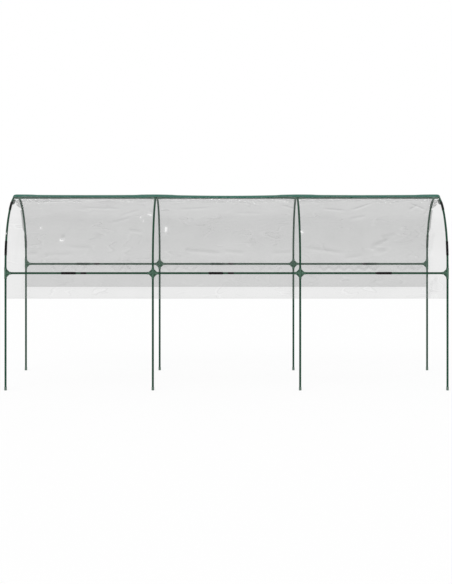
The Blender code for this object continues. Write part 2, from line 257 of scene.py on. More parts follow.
class FilmSettings(bpy.types.PropertyGroup):
    """The clear film."""
    spacing: length_property("Spacing", "Size of the film's faces", 0.0132)
    fine_spacing: length_property("Fine spacing", "Size of the faces at the high clips", 0.008)
    crown_sag: length_property("Crown sag", "Dip at the ridge in the middle bay", 0.0095)
    outer_sag: length_property("Outer sag", "Dip at the ridge in the outer bays", 0.0035)
    wrinkle_height: length_property("Wrinkle height", "Height of the loose wrinkles", 0.0030)
    hem_wave: length_property("Hem wave", "How far the free hem waves in and out", 0.004)
    seed: number_property("Seed", "Where the wrinkles are read in their noise", 7.3)
    tint: colour_property("Tint", "Colour of the film's haze", "656665")
    edge_tint: colour_property("Edge tint", "Colour of the ridge seen along the film", "0e5d4c")
    # The fold tint also paints the shade of the folds on the rear rail.
    fold_and_shade_tint: colour_property("Fold tint", "Colour of film that is bunched in folds", "3a4641")
    density: number_property("Density", "Share of light that the front stops", 0.250)
    # Painted shade: the rear half stops more light, as the inside of the tunnel is less lit.
    rear_shade_density: number_property(
        "Rear density", "Share that the rear stops on top of that", 0.136)


class StageSettings(bpy.types.PropertyGroup):
    """Floor, light and camera."""
    floor: colour_property("Floor", "Colour of the floor", "ffffff")
    floor_size: length_property("Floor size", "Side of the square floor", 80.0)
    sky_level: number_property("Sky level", "Brightness of the light all round", 0.80)
    sun_level: number_property("Sun level", "Strength of the soft main lamp", 0.75)
    white_share: number_property("White share", "Share of the floor shown as white", 0.82)
    eye_height: length_property("Eye height", "Height of the camera", 1.970)
    eye_distance: length_property("Eye distance", "Camera to the ridge, level", 12.38)
    lens: number_property("Lens", "Focal length in millimetres", 80.24)
    horizon_shift: number_property(
        "Horizon shift", "Drop of the picture below level, as a share of its height", 0.2044)
    side_shift: number_property(
        "Side shift", "Shift of the picture to the left, as a share of its height", 0.0009)


def begin_material(name):
    """A new material with its tree, its Principled shader and the Object coordinates."""
    material = bpy.data.materials.new(name)
    material.use_nodes = True
    tree = material.node_tree
    place = add_node(tree, "ShaderNodeTexCoord").outputs["Object"]
    return material, tree, tree.nodes["Principled BSDF"], place


def opaque_finish(tree, shader, colour, dull, relief, shine):
    """Give a shader a colour between two, a roughness, a fine relief and a shine."""
    share, base, other = colour
    height, strength, depth = relief
    shade_of = add_node(tree, MIX, COLOURS, {"Factor": share, MIX_A: base, MIX_B: other})
    bump = add_node(tree, BUMP, None, {"Height": height, "Strength": strength, "Distance": depth})
    set_inputs(shader, {
        "Base Color": shade_of.outputs[MIX_RESULT], "Roughness": add_node(tree, RANGE, None, dull),
        "Normal": bump, "Specular IOR Level": shine})


def powder_coated_steel(settings):
    """Polyester powder baked on steel tube: satin, with fine orange peel and dull rubbed spots."""
    material, tree, shader, place = begin_material("powder_coated_steel")
    drift = add_node(tree, NOISE, None, {"Vector": place, "Scale": per(140), "Detail": 2.0})
    rub = add_node(tree, NOISE, None, {"Vector": place, "Scale": per(9), "Detail": 5.0})
    rubbed = add_node(tree, RANGE, None, [rub, 0.60, 0.74, 0.0, 0.55])
    share = add_node(
        tree, MATHS, {"operation": "MULTIPLY_ADD", "use_clamp": True}, [drift, 0.35, rubbed])
    peel = add_node(tree, NOISE, None, {"Vector": place, "Scale": per(1.4), "Detail": 1.0})
    opaque_finish(
        tree, shader, (share, settings.coat, settings.coat_worn), [rub, 0.35, 0.75, 0.38, 0.56],
        (peel, 0.35, 0.00012), 0.15)
    return material


def moulded_plastic(name, base, pale, roughness, grain_mm, shine):
    """Injection-moulded polyolefin: a fine spark-eroded grain with faint flow marks across it."""
    material, tree, shader, place = begin_material(name)
    flow = add_node(tree, NOISE, None, {
        "Vector": place, "Scale": per(26), "Detail": 3.0, "Distortion": 1.2})
    grain = add_node(tree, NOISE, None, {"Vector": place, "Scale": per(grain_mm), "Detail": 2.0})
    dull = [flow, 0.3, 0.7, roughness - 0.06, roughness + 0.06]
    opaque_finish(tree, shader, (flow, base, pale), dull, (grain, 0.4, 0.00015), shine)
    return material


def clear_blown_film(settings):
    """Blown polyethylene film: see-through and glossy, with a light patchy haze and faint lines of
    painted shade, each with a painted highlight beside it.

    It is dark where it is bunched in folds, with the folds' shade painted in on the rear rail. It
    has small painted white highlights, and is teal where its ridge is seen along the surface.
    """
    material, tree, shader, place = begin_material("clear_blown_film")
    density, ridge, fold_and_shade, glint = (
        add_node(tree, "ShaderNodeAttribute", {"attribute_name": name}).outputs["Fac"]
        for name in ("film_density", "film_ridge", "film_fold_and_shade", "film_glint"))
    facing = add_node(tree, "ShaderNodeLayerWeight", None, {"Blend": 0.5}).outputs["Facing"]

    grazing = add_node(tree, RANGE, SOFT, [facing, 0.70, 0.77])
    edge = add_node(tree, MATHS, MULTIPLY, [grazing, ridge])
    dark = add_node(tree, MATHS, MOST, [edge, fold_and_shade])
    marked = add_node(tree, MATHS, MOST, [dark, glint])
    clear = add_node(tree, MATHS, SUBTRACT, [1.0, marked])
    # Over the haze: the teal ridge, dark folds with painted shade on the rear rail, and painted white highlights.
    colour = settings.tint
    for share, over in ((edge, settings.edge_tint), (fold_and_shade, settings.fold_and_shade_tint), (glint, WHITE)):
        colour = add_node(tree, MIX, COLOURS, {
            "Factor": share, MIX_A: colour, MIX_B: over}).outputs[MIX_RESULT]

    stretched = add_node(tree, "ShaderNodeMapping", None, {
        "Vector": place, "Scale": (0.35, 1.0, 1.0)})
    wander = add_node(tree, NOISE, None, {
        "Vector": stretched, "Scale": per(150), "Detail": 2.0, "Distortion": 0.5})
    patches = add_node(tree, NOISE, None, {"Vector": place, "Scale": per(210), "Detail": 2.0})
    # Painted shade along wavy lines, each with a painted highlight beside it, in patches.
    lines = []
    for level, width, strength in ((0.50, 0.013, 0.084), (0.53, 0.015, 0.072)):
        signed = add_node(tree, MATHS, SUBTRACT, [wander, level])
        beside = add_node(tree, MATHS, ABSOLUTE, [signed])
        lines.append(add_node(tree, RANGE, SOFT, [beside, 0.0, width, strength, 0.0]))
    painted_crease_lines = add_node(tree, MATHS, SUBTRACT, lines)
    patchy = add_node(tree, RANGE, SOFT, [patches, 0.46, 0.62])
    in_patches = add_node(tree, MATHS, MULTIPLY, [painted_crease_lines, patchy])
    cloud = add_node(tree, RANGE, SOFT, [patches, 0.3, 0.7, -0.012, 0.012])
    uneven = add_node(tree, MATHS, ADD, [in_patches, cloud])
    tripled = add_node(tree, MATHS, MULTIPLY, [density, 3.0])
    hazy = add_node(tree, MATHS, LEAST, [tripled, 1.0])
    wrinkled = add_node(tree, MATHS, MULTIPLY, [uneven, hazy])
    haze = add_node(tree, MATHS, ADD, [density, wrinkled])

    crinkle = add_node(tree, NOISE, None, {"Vector": place, "Scale": per(22), "Detail": 3.0})
    strength = add_node(tree, RANGE, SOFT, [facing, 0.38, 0.58, 0.25, 0.04])
    bump = add_node(tree, BUMP, None, {
        "Height": crinkle, "Strength": strength, "Distance": 0.002})
    set_inputs(shader, {
        "Base Color": colour, "Alpha": add_node(tree, MATHS, MOST, [haze, marked]),
        "Transmission Weight": clear, "Coat Weight": add_node(tree, MATHS, MULTIPLY, [clear, 0.4]),
        "Normal": bump, "Roughness": 0.45, "IOR": 1.12, "Coat Roughness": 0.15})
    return material


def geometry_tree(name, sizes):
    """A geometry tree with an input for a shape, one for each size, and one for the material."""
    tree = bpy.data.node_groups.new(name, "GeometryNodeTree")
    for label, kind in {"Shape": "Geometry", **sizes, "Material": "Material"}.items():
        tree.interface.new_socket(name=label, in_out="INPUT", socket_type=f"NodeSocket{kind}")
    tree.interface.new_socket(name="Shape", in_out="OUTPUT", socket_type="NodeSocketGeometry")
    return tree, add_node(tree, "NodeGroupInput").outputs


def end_tree(tree, shape, material):
    """Turn instances into plain faces, set their material and hand the shape on."""
    real = add_node(tree, "GeometryNodeRealizeInstances", None, [shape])
    dressed = add_node(tree, "GeometryNodeSetMaterial", None, {
        "Geometry": real, "Material": material})
    add_node(tree, "NodeGroupOutput", None, [dressed])
    return tree


def bent_tube_tree():
    """Steel tube swept along the line that it is given."""
    tree, given = geometry_tree("bent_tube", {"Tube Radius": "Float", "Facets": "Int"})
    line = add_node(tree, "GeometryNodeMeshToCurve", None, {"Mesh": given["Shape"]})
    ring = add_node(tree, "GeometryNodeCurvePrimitiveCircle", None, {
        "Resolution": given["Facets"], "Radius": given["Tube Radius"]})
    tube = add_node(tree, "GeometryNodeCurveToMesh", None, {
        "Curve": line, "Profile Curve": ring, "Fill Caps": True})
    return end_tree(tree, tube, given["Material"])


def grip_rib_tree():
    """Upright ribs in a ring, fused to the wall of a foot cap."""
    tree, given = geometry_tree("grip_ribs", {
        "Rib Count": "Int", "Rib Radius": "Float", "Rib Length": "Float",
        "Ring Radius": "Float", "Ring Height": "Float"})
    ring = add_node(tree, "GeometryNodeMeshCircle", None, {
        "Vertices": given["Rib Count"], "Radius": given["Ring Radius"]})
    height = add_node(tree, "ShaderNodeCombineXYZ", None, {"Z": given["Ring Height"]})
    raised = add_node(tree, "GeometryNodeSetPosition", None, {
        "Geometry": ring, "Offset": height})
    rib = add_node(tree, "GeometryNodeMeshCylinder", None, {
        "Vertices": 8, "Radius": given["Rib Radius"], "Depth": given["Rib Length"]})
    ribs = add_node(tree, "GeometryNodeInstanceOnPoints", None, {
        "Points": raised, "Instance": rib})
    real = add_node(tree, "GeometryNodeRealizeInstances", None, [ribs])
    fuse = add_node(tree, "GeometryNodeMeshBoolean", {"operation": "UNION", "solver": "EXACT"})
    for shape in (given["Shape"], real):
        set_inputs(fuse, {"Mesh 2": shape})
    return end_tree(tree, fuse, given["Material"])


def add_object(name, data):
    item = bpy.data.objects.new(name, data)
    bpy.context.scene.collection.objects.link(item)
    return item


def plain_mesh(item):
    """The mesh that an object's modifiers make."""
    graph = bpy.context.evaluated_depsgraph_get()
    return bpy.data.meshes.new_from_object(item.evaluated_get(graph))


def run_tree(tree, mesh, values):
    """The plain mesh that a geometry tree makes of a mesh."""
    item = add_object(mesh.name, mesh)
    modifier = item.modifiers.new(tree.name, "NODES")
    modifier.node_group = tree
    for socket in tree.interface.items_tree:
        if socket.in_out == "INPUT" and socket.name in values:
            modifier[socket.identifier] = values[socket.name]
    made = plain_mesh(item)
    item.modifiers.remove(modifier)
    bpy.data.objects.remove(item)
    return made


def shade(mesh):
    mesh.shade_smooth()
    mesh.set_sharp_from_angle(angle=SHARP_ANGLE)
    return mesh


def mesh_of(name, form):
    """A shaded mesh of a closed form, its faces turned outward."""
    bmesh.ops.recalc_face_normals(form, faces=form.faces)
    mesh = bpy.data.meshes.new(name)
    form.to_mesh(mesh)
    form.free()
    return shade(mesh)


def placed(mesh, place, turned=False):
    """A copy of a mesh at its place, after half a turn about the vertical where it is asked for."""
    copy = mesh.copy()
    way = -1 if turned else 1
    for corner in copy.vertices:
        corner.co = Vector((way * corner.co.x, way * corner.co.y, corner.co.z)) + place
    return copy


def add_piece(name, mesh, material, node=None):
    """Link a finished mesh as a piece that rides on its solid's body and stands for it.

    A piece that has no solid rides on the frame.
    """
    mesh.materials.clear()
    mesh.materials.append(material)
    piece = add_object(name, mesh)
    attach(piece, NODE_BODY[node] if node else "frame")
    if node:
        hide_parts(node)
    return piece


def bridge(form, rings):
    """Faces between each ring of corners and the next."""
    for ring, next_ring in zip(rings, rings[1:]):
        for index, corner in enumerate(ring):
            form.faces.new((ring[index - 1], corner, next_ring[index], next_ring[index - 1]))


def round_body(stations, across, facets):
    """A closed body of round sections.

    A station is a point, the way the body runs there, and a radius.
    """
    form = bmesh.new()
    turns = [2 * math.pi * step / facets for step in range(facets)]
    rings = []
    for point, run, radius in stations:
        other = run.cross(across)
        rings.append([
            form.verts.new(point + (across * math.cos(turn) + other * math.sin(turn)) * radius)
            for turn in turns])
    bridge(form, rings)
    form.faces.new(rings[0])
    form.faces.new(rings[-1])
    return mesh_of("round_body", form)


def plate(corners, thickness):
    """A flat plate of (x, z) corners, its thickness across the tunnel."""
    form = bmesh.new()
    rings = [
        [form.verts.new((x, y, z)) for x, z in corners] for y in (-thickness / 2, thickness / 2)]
    for ring in rings:
        form.faces.new(ring)
    bridge(form, rings)
    return mesh_of("plate", form)


def straight(centre, run, profile):
    """Stations of a straight body, from a profile of places along it and radii."""
    return [(centre + run * place, run, radius) for place, radius in profile]


def bent(profile, sign=1):
    """Stations of a body bent over the top of a hoop, whose centre line passes the origin."""
    stations = []
    for place, radius in profile:
        turn = place / ARCH_RADIUS
        point = Vector((0, ARCH_RADIUS * math.sin(turn), ARCH_RADIUS * (math.cos(turn) - 1)))
        stations.append((point, Vector((0, math.cos(turn), -math.sin(turn))) * sign, radius))
    return stations


def reflected(half):
    """The other half of a profile."""
    return [(-place, radius) for place, radius in reversed(half)]


def fused(name, solids, cutters):
    """All the solids as one, with the cutters taken away."""
    items = [add_object(name, mesh) for mesh in solids + cutters]
    for index, item in enumerate(items[1:], start=1):
        modifier = items[0].modifiers.new("fuse", "BOOLEAN")
        modifier.operation = "UNION" if index < len(solids) else "DIFFERENCE"
        modifier.object = item
    made = plain_mesh(items[0])
    for item in items:
        bpy.data.objects.remove(item)
    made.name = name
    return shade(made)


def arch_point(angle, sign):
    """A point of an arch's centre line on the front or rear, at an angle above the spring line."""
    rise = SPRING_HEIGHT + ARCH_RADIUS * math.sin(angle)
    return Vector((0, sign * ARCH_RADIUS * math.cos(angle), rise))


def arm_profile(settings):
    """The half of a socket arm that has its mouth, as places from the joint's centre and radii."""
    ramp = settings.bead
    bead = SOCKET_RADIUS + settings.bead
    start = JOINT_REACH - settings.bead_length
    return [
        (start, SOCKET_RADIUS), (start + ramp, bead), (JOINT_REACH - ramp, bead),
        (JOINT_REACH, SOCKET_RADIUS)]


def straight_arm(centre, run, settings, back=None):
    """A socket arm with a bead at its mouth.

    It goes both ways, or ends a little back of the centre.
    """
    half = arm_profile(settings)
    near = reflected(half)
    if back is not None:
        near = [(-back, SOCKET_RADIUS - settings.bead), (settings.bead - back, SOCKET_RADIUS)]
    return round_body(straight(centre, run, near + half), ACROSS, settings.facets)


def straight_bore(centre, run, settings):
    profile = [(place, BORE_RADIUS) for place in BORE_ENDS]
    return round_body(straight(centre, run, profile), ACROSS, settings.facets)


def bent_arm(settings):
    """The sleeve over the top of the hoop, with a bead at both its mouths."""
    mouth = arm_profile(settings)
    half = [(mouth[0][0] * step / BENT_STEPS, SOCKET_RADIUS) for step in range(BENT_STEPS)]
    half += mouth
    return round_body(bent(reflected(half[1:]) + half), ALONG, settings.facets)


def bent_bore(sign, settings):
    profile = [(sign * place, BORE_RADIUS) for place in np.linspace(*BORE_ENDS, BENT_STEPS)]
    return round_body(bent(profile, sign), ALONG, settings.facets)


def web_edge(settings, sign_x, sign_z, inset):
    """The hollow edge of a web between two arms, from the rail's arm to the post's."""
    corners = []
    for step in range(WEB_STEPS + 1):
        share = step / WEB_STEPS
        hollow = (settings.web_hollow * 4 * share * (1 - share) + inset) * math.sqrt(0.5)
        x, z = (max(settings.web_reach * part - hollow, 0.0) for part in (1 - share, share))
        corners.append((sign_x * x, sign_z * z))
    return corners


def rail_joint_mesh(settings, ways):
    """Sockets for leg, arch and rails, with rimmed webs between them.

    Ways holds 1 for a rail on the right and -1 for one on the left.
    """
    back = 0.0 if len(ways) == 1 else None
    solids = [straight_arm(CENTRE, UP, settings), straight_arm(CENTRE, ALONG, settings, back)]
    cutters = [straight_bore(CENTRE, run, settings) for run in (UP, -UP)]
    cutters += [straight_bore(CENTRE, ALONG * way, settings) for way in ways]
    for sign_x in ways:
        for sign_z in (1, -1):
            edge = web_edge(settings, sign_x, sign_z, 0.0)
            inner = web_edge(settings, sign_x, sign_z, settings.rim_width)
            solids.append(plate([(0, 0)] + edge, settings.web_thickness))
            solids.append(plate(edge + inner[::-1], settings.rim_thickness))
    return fused("rail_joint", solids, cutters)


def ridge_joint_mesh(settings, ways):
    """A bent sleeve on the hoop, with the ridge tubes' sockets fused beneath it."""
    below = UP * (RIDGE_HEIGHT - TOP_HEIGHT)
    back = 0.95 * SOCKET_RADIUS if len(ways) == 1 else None
    solids = [bent_arm(settings), straight_arm(below, ALONG, settings, back)]
    cutters = [bent_bore(sign, settings) for sign in (1, -1)]
    cutters += [straight_bore(below, ALONG * way, settings) for way in ways]
    return fused("ridge_joint", solids, cutters)


def foot_cap_mesh(settings, tree, material):
    """A turned cup: a rim at the ground, a wall round the leg, a floor under its end, and ribs."""
    wall = BORE_RADIUS + settings.foot_wall
    rim = wall + settings.foot_rim
    rim_height = 0.007
    edge = 0.0006
    profile = [
        (0.0, rim - 5 * edge), (edge / 2, rim - 3 * edge), (2 * edge, rim - edge),
        (5 * edge, rim), (rim_height, rim), (rim_height + edge, wall),
        (FOOT_HEIGHT - edge, wall), (FOOT_HEIGHT, wall - edge), (FOOT_HEIGHT, BORE_RADIUS),
        (LEG_FOOT - FIT, BORE_RADIUS),
    ]
    low = rim_height + 0.0015
    high = FOOT_HEIGHT - 0.003
    cup = round_body(straight(CENTRE, UP, profile), ALONG, settings.facets)
    return shade(run_tree(tree, cup, {
        "Rib Count": settings.rib_count, "Rib Radius": settings.rib_radius,
        "Rib Length": high - low, "Ring Radius": wall, "Ring Height": (low + high) / 2,
        "Material": material}))


def clip_section(settings, lift, ease):
    """Closed outline of a clip across the tube, as (out, across) pairs.

    Lift raises the outer side in a rib. Ease thins the wall, to round off the clip's ends.
    """
    outer = []
    inner = []
    for step in range(settings.facets + 1):
        turn = settings.wrap * (2 * step / settings.facets - 1)
        flare = settings.lip_flare * smooth(settings.wrap - 0.25, settings.wrap, abs(turn))
        rise = lift * smooth(-0.1, 0.3, math.cos(turn))
        for line, radius in (
                (outer, CLIP_RADIUS + rise + flare - ease), (inner, BORE_RADIUS + flare + ease)):
            line.append((radius * math.cos(turn), radius * math.sin(turn)))
    return outer + inner[::-1]


def clip_stations(settings):
    """Places along a clip with the rise of its ribs and how far its wall is eased."""
    half = CLIP_LENGTH / 2
    ease = 0.0003
    flat = settings.rib_width / 2
    ramp = settings.rib_height
    pitch = CLIP_LENGTH / (settings.rib_count + 1)
    stations = [(-half, 0.0, ease), (-half + 2 * ease, 0.0, 0.0)]
    for number in range(1, settings.rib_count + 1):
        rib = -half + pitch * number
        for offset, lift in ((-flat - ramp, 0.0), (-flat, ramp), (flat, ramp), (flat + ramp, 0.0)):
            stations.append((rib + offset, lift, 0.0))
    return stations + [(half - 2 * ease, 0.0, 0.0), (half, 0.0, ease)]


def clip_mesh(settings, locate):
    """A clip along a line.

    Locate gives the point, the outward and the sideways direction at a place on the line.
    """
    form = bmesh.new()
    rings = []
    for place, lift, ease in clip_stations(settings):
        point, out, side = locate(place)
        section = clip_section(settings, lift, ease)
        rings.append([form.verts.new(point + out * a + side * b) for a, b in section])
    bridge(form, rings)
    for ring in (rings[0], rings[-1]):
        for index in range(settings.facets):
            form.faces.new((ring[index], ring[index + 1], ring[-2 - index], ring[-1 - index]))
    return mesh_of("snap_clip", form)


def across_at(height):
    """Distance along the film from the ridge down to a height."""
    if height >= SPRING_HEIGHT:
        return ARCH_RADIUS * math.acos((height - SPRING_HEIGHT) / ARCH_RADIUS)
    return QUARTER_ARCH + SPRING_HEIGHT - height


def clip_angle(level):
    """Angle above the spring line of the low or the high hoop clips, from the way they slide."""
    axis = CLIP_AXES[NODE_BODY[f"hoop_clip_front_left_{level}"]]
    return math.atan2(axis.z, abs(axis.y))


def nip_path():
    """How film runs round a tube under a clip: plain place, then height and place when nipped.

    A height of NaN leaves the film as it is.
    """
    low = NIPPED * math.cos(CLIP_MOUTH)
    near = NIPPED * math.sin(CLIP_MOUTH)
    half = [
        (-0.0300, math.nan, -0.0300), (-0.0240, 0.0060, -0.0215), (-0.0190, 0.0, -0.0165),
        (-0.0150, low + 0.0020, -0.0138), (-0.0125, low - 0.0022, -0.0105),
        (-0.0100, low - 0.0018, -near - 0.0010), (-0.0078, low, -near),
    ]
    on_tube = []
    for step in range(-4, 5):
        turn = CLIP_MOUTH * step / 5
        on_tube.append((0.0013 * step, NIPPED * math.cos(turn), NIPPED * math.sin(turn)))
    return half + on_tube + [(-plain, height, -place) for plain, height, place in half[::-1]]


def clipped_margin():
    """Height and outward place of the film's margin under a hoop clip, from the tube's top."""
    steps = [(height, place) for plain, height, place in NIP[NIP_TOP:NIP_TOP + CLIP_STEPS]]
    height, place = steps[-1]
    return steps + [(height - FREE_STEP * step, place) for step in range(1, FREE_STEPS + 1)]


RAIL_ACROSS = across_at(RAIL_HEIGHT)
HEM_ACROSS = across_at(HEM_HEIGHT)
CLIP_ANGLES = {level: clip_angle(level) for level in ("low", "high")}
HOOP_CLIP_PLACES = [ARCH_RADIUS * (math.pi / 2 - angle) for angle in CLIP_ANGLES.values()]
HIGH_CLIP_PLACE = HOOP_CLIP_PLACES[1]
NIP = nip_path()
NIP_TOP = len(NIP) // 2
NIP_REACH = -NIP[0][0]
MARGIN = clipped_margin()

# Creases in the front of the film: x and height of the middle, length, slope in degrees, and
# depth in millimetres.
CREASES = [
    (-1.70, 1.695, 0.34, 4, 3.0), (-0.83, 1.443, 0.16, -8, 2.5), (-1.75, 1.243, 0.10, 0, 2.5),
    (-0.97, 1.535, 0.24, 18, 2.0), (-1.35, 1.300, 0.30, -3, 1.5), (-1.52, 1.235, 0.34, 3, 1.5),
    (-1.15, 1.640, 0.40, -4, 1.5), (-0.89, 1.600, 0.22, 24, 1.5), (-0.22, 1.262, 0.46, -5, 3.0),
    (-0.53, 1.505, 0.16, 88, 2.0), (0.57, 1.650, 0.14, -32, 2.5), (0.50, 1.252, 0.24, 3, 2.0),
    (0.07, 1.258, 0.24, -5, 2.5), (-0.30, 1.640, 0.34, 6, 1.5), (0.20, 1.600, 0.30, -3, 1.2),
    (0.83, 1.690, 0.10, -14, 2.5), (0.99, 1.628, 0.24, -9, 3.0), (1.25, 1.655, 0.26, 30, 3.0),
    (1.20, 1.560, 0.20, 14, 2.0), (1.77, 1.655, 0.20, -38, 3.5), (1.73, 1.650, 0.15, 48, 3.0),
    (1.84, 1.610, 0.12, 62, 2.0), (1.40, 1.345, 0.24, 22, 3.0), (1.36, 1.310, 0.16, 24, 2.0),
    (1.47, 1.400, 0.18, 12, 2.0), (0.89, 1.272, 0.42, -8, 3.0), (1.15, 1.215, 0.20, 10, 2.0),
    (-1.89, 1.330, 0.55, 86, 1.5), (1.87, 1.330, 0.24, 80, 2.0), (1.858, 0.925, 0.17, 88, 3.5),
    (1.893, 0.945, 0.21, 92, 4.5), (-1.484, 1.386, 0.045, 75, 4.0),
]
# Runs of short puckers just over the rail: first x, last x, spacing, height, slope in degrees,
# and depth in millimetres.
PUCKERS = [
    (0.86, 1.40, 0.045, 1.105, 42, 3.5), (1.56, 1.80, 0.060, 1.105, 38, 2.5),
    (-1.56, -1.24, 0.090, 1.105, 46, 2.5), (-1.02, -0.84, 0.070, 1.105, 52, 3.0),
    (-0.54, -0.20, 0.085, 1.105, 45, 2.5), (0.24, 0.52, 0.080, 1.100, 40, 2.0),
]
# Dark folds of the film on the rear rail, their shade painted in: x and length.
RAIL_FOLDS_AND_SHADE = [
    (-1.585, 0.034), (-1.290, 0.044), (-1.137, 0.024), (-1.082, 0.022), (-0.364, 0.030),
    (-0.202, 0.034), (0.045, 0.036), (0.150, 0.028), (1.037, 0.034), (1.087, 0.022),
    (1.306, 0.034), (1.960, 0.040),
]
# Painted white highlights: x and height of the middle, length, slope in degrees and bend.
PAINTED_GLINTS = [
    (-1.496, 1.350, 0.054, -6, 18.0), (-1.690, 1.461, 0.023, 60, 0.0),
    (-0.784, 1.556, 0.024, 0, 0.0), (-0.764, 1.522, 0.022, 30, 0.0),
    (-0.706, 1.577, 0.064, -28, 0.0), (-0.552, 1.448, 0.084, 88, 0.0),
    (0.686, 1.425, 0.046, -58, 0.0), (-2.003, 1.411, 0.015, 0, 0.0),
]
# Zones along the film: where each starts and is full, then where it fades and ends.
FRONT_LOBE = (-0.195, -0.150, -0.072, -0.032)   # from the middle of a high clip
REAR_LOBE = (-0.125, -0.085, -0.010, 0.060)     # the same
FREE_STRETCH = (0.385, 0.450, 0.660, 0.755)     # from the ridge
HANGING = (0.005, 0.055)                        # below the rail, where the margin hangs flat
BAND_TOP = 1.545                                # heights of a band of slightly denser film
BAND_FOOT = 1.270
CREASE_WIDTH = 0.014
CREASE_HIGHLIGHT_OFFSET = 0.024            # down the film from a crease to the painted highlight, a clearer line, beside it
PAINTED_HIGHLIGHT_SHARE = 0.7               # strength of that painted highlight beside the crease's own painted shade
WRINKLE_SHADE = 0.0006           # painted shade of the loose wrinkles: the depth of a crease that is as dark
PUCKER_LENGTH = 0.080
PUCKER_WIDTH = 0.010
GLINT_WIDTH = 0.011
FOLD_WIDTH = 0.011
# Where the film comes free to wrinkle: distances at which that starts and is full.
LOOSE_FROM_HOOP = (0.014, 0.110)
LOOSE_FROM_RAIL = (0.016, 0.075)
LOOSE_FROM_RIDGE = (0.0, 0.120)
# Share of light that parts of the film stop on top of what plain film does.
BAND_DENSITY = 0.037
LOWER_DENSITY = 0.003
HEM_DENSITY = 0.036
FREE_DENSITY = 0.30
BAND_WAVES = ((0.02, 3.1, 0.0), (0.014, 7.7, 1.0), (0.01, 13.0, 2.0))
CREASE_SHADE_DENSITY = 46.0           # painted shade in the creases: for each metre of a crease's depth


def stroke(x, rise, x_mid, height, length, degrees, width, bend=0.0):
    """A soft stroke on the film: 1 along its line, fading to 0 beside it and past its ends.

    Rise is minus the distance from the ridge along the film.
    """
    turn = math.radians(degrees)
    off_x = x - x_mid
    off_rise = rise + across_at(height)
    along = off_x * math.cos(turn) + off_rise * math.sin(turn)
    beside = off_rise * math.cos(turn) - off_x * math.sin(turn) - bend * along * along
    return np.exp(-(beside / width) ** 2) * smooth(length / 2, length / 5, np.abs(along))


def crease_field(x, rise):
    """Depth of all creases in the front, in metres. Rise is as in stroke."""
    depth = np.zeros_like(x)
    for x_mid, height, length, degrees, deep in CREASES:
        depth += stroke(x, rise, x_mid, height, length, degrees, CREASE_WIDTH) * deep / 1000
    for first, last, spacing, height, degrees, deep in PUCKERS:
        for number, x_mid in enumerate(np.arange(first, last, spacing)):
            slope = degrees if number % 2 else 180 - degrees + 9 * (number % 3)
            line = stroke(x, rise, x_mid, height, PUCKER_LENGTH, slope, PUCKER_WIDTH)
            depth += line * deep / 1000
    return depth


def noise_field(x, across, seed):
    """Loose wrinkles that run mostly along the tunnel, from -1 to 1, sharper at their crests."""
    values = np.empty(x.size)
    for index, (a, b) in enumerate(zip(x.ravel(), across.ravel())):
        broad = noise.noise(Vector((a * 1.7, b * 4.6, seed)))
        crisp = noise.noise(Vector((a * 3.1 + b * 1.9, b * 7.3 - a * 1.2, seed + 5)))
        crest = (1 - 2 * abs(crisp)) ** 3
        values[index] = 0.55 * broad + 0.45 * crest * smooth(-0.3, 0.3, broad)
    return values.reshape(x.shape)


def zone(value, start, full, fade, end):
    """1 from full to fade, going softly down to 0 at start and end."""
    return smooth(start, full, value) * smooth(end, fade, value)


def waves(x, terms):
    """Sum of waves along the tunnel, each with a height, a pace and a start."""
    return sum(height * np.sin(x * pace + start) for height, pace, start in terms)


def nearest(value, places):
    """Distance from each value to the nearest of some places."""
    return np.min([np.abs(value - place) for place in places], axis=0)


def film_contact(x, across):
    """Height of film that rests on the tubes, over their centre lines: more over the sockets."""
    from_hoop = nearest(x, HOOP_XS)
    below_rail = np.maximum(np.abs(across) - RAIL_ACROSS, 0.0)
    from_rail = np.abs(np.abs(across) - RAIL_ACROSS) - below_rail
    start = JOINT_REACH + 0.035
    end = JOINT_REACH + 0.004
    rail = smooth(start, end, from_hoop + from_rail)
    ridge = smooth(start, end, 0.4 * from_hoop + np.abs(across))
    return FILM_HEIGHT + (FILM_OVER_SOCKET - FILM_HEIGHT) * np.maximum(rail, ridge)


def film_lift(x, across, settings):
    """Height of the plain film over the centre lines, with its dip between hoops and free hem."""
    share = ((x - HOOP_XS[0]) % BAY) / BAY
    arch = np.clip(np.abs(across) / RAIL_ACROSS, 0.0, 1.0)
    sag = np.where(np.abs(x) < BAY / 2, settings.crown_sag, settings.outer_sag)
    dip = sag * (np.cos(arch * math.pi / 2) * 0.85 + 0.15 * smooth(1.0, 0.8, arch))
    free = np.clip((np.abs(across) - RAIL_ACROSS) / (HEM_ACROSS - RAIL_ACROSS), 0.0, 1.0)
    wave = waves(x, ((1.0, 5.3, across * 2.0), (0.6, 12.1, 1.3), (0.4, 21.7, 2.1)))
    hem = settings.hem_wave / 2 * wave * free ** 1.5
    return film_contact(x, across) - dip * np.sin(math.pi * share) + hem


def film_rows(settings):
    """The film's rows from the front hem to the rear one, each given as in the nip's path."""
    skirt = HEM_ACROSS - RAIL_ACROSS - NIP_REACH - HEM_FOLD
    steps = round(skirt / settings.spacing)
    low = [-HEM_ACROSS]
    low += [-HEM_ACROSS + HEM_FOLD + skirt * step / steps for step in range(steps)]
    fine = (HIGH_CLIP_PLACE + FRONT_LOBE[0], HIGH_CLIP_PLACE + 0.095)
    bands = (
        (0.0, fine[0], settings.spacing),
        (*fine, settings.fine_spacing),
        (fine[1], RAIL_ACROSS - NIP_REACH, settings.spacing),
    )
    arch = []
    for start, end, step in bands:
        arch += list(np.linspace(start, end, round((end - start) / step) + 1)[:-1])
    arch = [-place for place in arch[:0:-1]] + arch
    front = [(place, math.nan, place) for place in low]
    front += [(-RAIL_ACROSS + plain, height, -RAIL_ACROSS + place) for plain, height, place in NIP]
    rear = [(-plain, height, -place) for plain, height, place in front[::-1]]
    return front + [(place, math.nan, place) for place in arch] + rear


